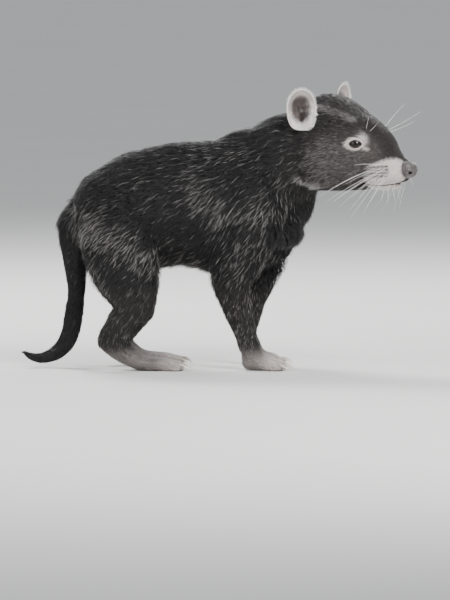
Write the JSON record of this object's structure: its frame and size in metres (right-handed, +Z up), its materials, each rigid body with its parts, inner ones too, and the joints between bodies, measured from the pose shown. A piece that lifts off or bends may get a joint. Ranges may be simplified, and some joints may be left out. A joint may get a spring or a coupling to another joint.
{
  "type": "tasmanian devil",
  "caption": "Life-size still model of a Tasmanian devil standing on all fours, its head turned to its right and its tail curled at the tip.",
  "frame": {"origin": "centre of the model's bounding box on the floor under its feet", "axes": "+X forward along the body towards the head, +Y to the animal's left, +Z up"},
  "size_m": [0.5554, 0.2002, 0.399],
  "materials": {
    "chest": "matt black fur",
    "ear_left": "bare pinkish skin",
    "ear_right": "bare pinkish skin",
    "eye_left": "wet dark eye",
    "eye_right": "wet dark eye",
    "forearm_left": "matt black fur",
    "forearm_right": "matt black fur",
    "foreclaw_left_1": "pale horn",
    "foreclaw_left_2": "pale horn",
    "foreclaw_left_3": "pale horn",
    "foreclaw_left_4": "pale horn",
    "foreclaw_left_5": "pale horn",
    "foreclaw_right_1": "pale horn",
    "foreclaw_right_2": "pale horn",
    "foreclaw_right_3": "pale horn",
    "foreclaw_right_4": "pale horn",
    "foreclaw_right_5": "pale horn",
    "forefoot_left": "matt black fur",
    "forefoot_right": "matt black fur",
    "head": "dark brown short fur",
    "hindclaw_left_1": "pale horn",
    "hindclaw_left_2": "pale horn",
    "hindclaw_left_3": "pale horn",
    "hindclaw_left_4": "pale horn",
    "hindclaw_right_1": "pale horn",
    "hindclaw_right_2": "pale horn",
    "hindclaw_right_3": "pale horn",
    "hindclaw_right_4": "pale horn",
    "hindfoot_left": "matt black fur",
    "hindfoot_right": "matt black fur",
    "jaw": "dark brown short fur",
    "loin": "matt black fur",
    "neck": "matt black fur",
    "nose": "bare pinkish skin",
    "shank_left": "matt black fur",
    "shank_right": "matt black fur",
    "tail_base": "matt black fur",
    "tail_middle": "matt black fur",
    "tail_tip": "matt black fur",
    "thigh_left": "matt black fur",
    "thigh_right": "matt black fur",
    "upper_arm_left": "matt black fur",
    "upper_arm_right": "matt black fur"
  },
  "bodies": {
    "root": {"chest": "chest", "ear_left": "ear_left", "ear_right": "ear_right", "eye_left": "eye_left", "eye_right": "eye_right", "forearm_left": "forearm_left", "forearm_right": "forearm_right", "foreclaw_left_1": "foreclaw_left_1", "foreclaw_left_2": "foreclaw_left_2", "foreclaw_left_3": "foreclaw_left_3", "foreclaw_left_4": "foreclaw_left_4", "foreclaw_left_5": "foreclaw_left_5", "foreclaw_right_1": "foreclaw_right_1", "foreclaw_right_2": "foreclaw_right_2", "foreclaw_right_3": "foreclaw_right_3", "foreclaw_right_4": "foreclaw_right_4", "foreclaw_right_5": "foreclaw_right_5", "forefoot_left": "forefoot_left", "forefoot_right": "forefoot_right", "head": "head", "hindclaw_left_1": "hindclaw_left_1", "hindclaw_left_2": "hindclaw_left_2", "hindclaw_left_3": "hindclaw_left_3", "hindclaw_left_4": "hindclaw_left_4", "hindclaw_right_1": "hindclaw_right_1", "hindclaw_right_2": "hindclaw_right_2", "hindclaw_right_3": "hindclaw_right_3", "hindclaw_right_4": "hindclaw_right_4", "hindfoot_left": "hindfoot_left", "hindfoot_right": "hindfoot_right", "jaw": "jaw", "loin": "loin", "neck": "neck", "nose": "nose", "shank_left": "shank_left", "shank_right": "shank_right", "tail_base": "tail_base", "tail_middle": "tail_middle", "tail_tip": "tail_tip", "thigh_left": "thigh_left", "thigh_right": "thigh_right", "upper_arm_left": "upper_arm_left", "upper_arm_right": "upper_arm_right"}
  },
  "joints": []
}
